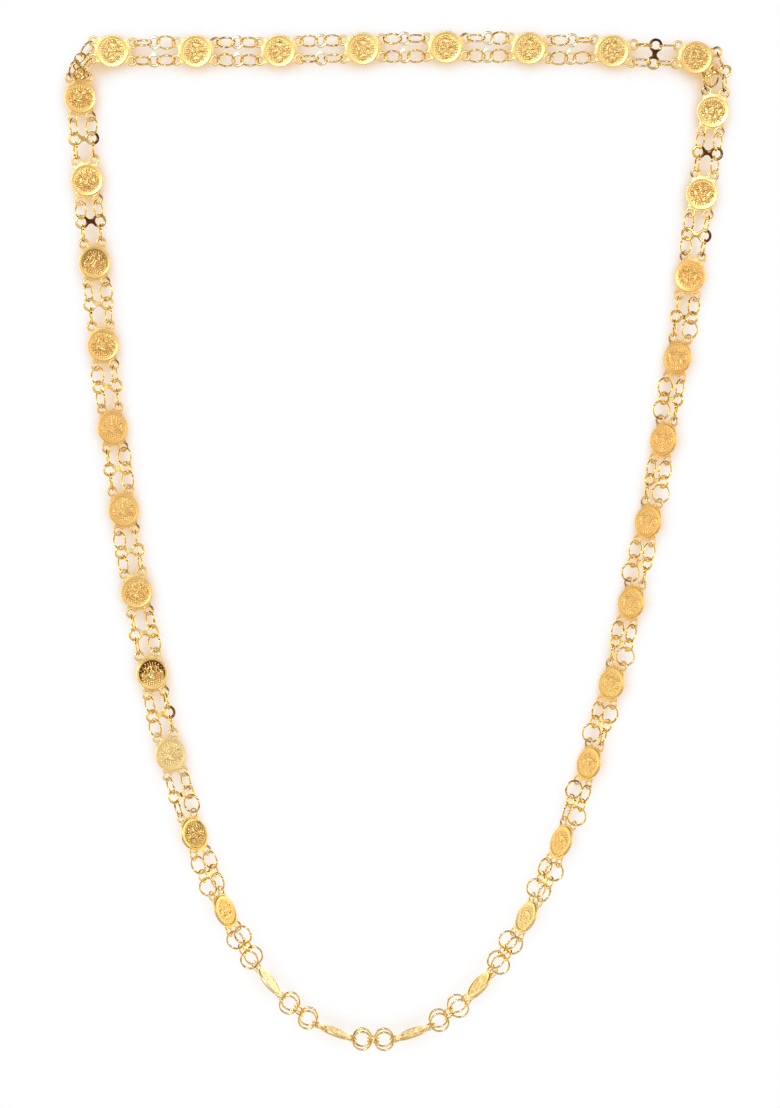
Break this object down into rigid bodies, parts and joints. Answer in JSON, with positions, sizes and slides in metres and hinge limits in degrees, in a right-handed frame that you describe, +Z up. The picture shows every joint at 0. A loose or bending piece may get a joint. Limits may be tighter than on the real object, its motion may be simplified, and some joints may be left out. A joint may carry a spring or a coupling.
{
  "type": "temple necklace",
  "caption": "Long temple necklace: round relief coins joined by jump rings and small stamped crosspieces into a double-strand loop, shown hanging from its top row.",
  "frame": {"origin": "middle of the top row of coins, where the necklace hangs", "axes": "+Z up, -Y out of the faces of the top row towards the viewer, +X to the viewer's right"},
  "size_m": [0.178, 0.0087, 0.2718],
  "materials": {
    "coin_gold": "gold plated, polished relief with a darker field",
    "crosspiece_gold": "gold plated, bright flat stamping",
    "ring_gold": "gold plated, bright drawn wire"
  },
  "bodies": {
    "root": {"coin_01": "coin_gold", "coin_02": "coin_gold", "coin_03": "coin_gold", "coin_04": "coin_gold", "coin_05": "coin_gold", "coin_06": "coin_gold", "coin_07": "coin_gold", "coin_08": "coin_gold", "coin_09": "coin_gold", "coin_10": "coin_gold", "coin_11": "coin_gold", "coin_12": "coin_gold", "coin_13": "coin_gold", "coin_14": "coin_gold", "coin_15": "coin_gold", "coin_16": "coin_gold", "coin_17": "coin_gold", "coin_18": "coin_gold", "coin_19": "coin_gold", "coin_20": "coin_gold", "coin_21": "coin_gold", "coin_22": "coin_gold", "coin_23": "coin_gold", "coin_24": "coin_gold", "coin_25": "coin_gold", "coin_26": "coin_gold", "coin_27": "coin_gold", "coin_28": "coin_gold", "coin_29": "coin_gold", "coin_30": "coin_gold", "coin_31": "coin_gold", "coin_32": "coin_gold", "coin_33": "coin_gold", "coin_34": "coin_gold", "crosspieces": "crosspiece_gold", "outer_rings": "ring_gold", "inner_rings": "ring_gold"}
  },
  "joints": []
}
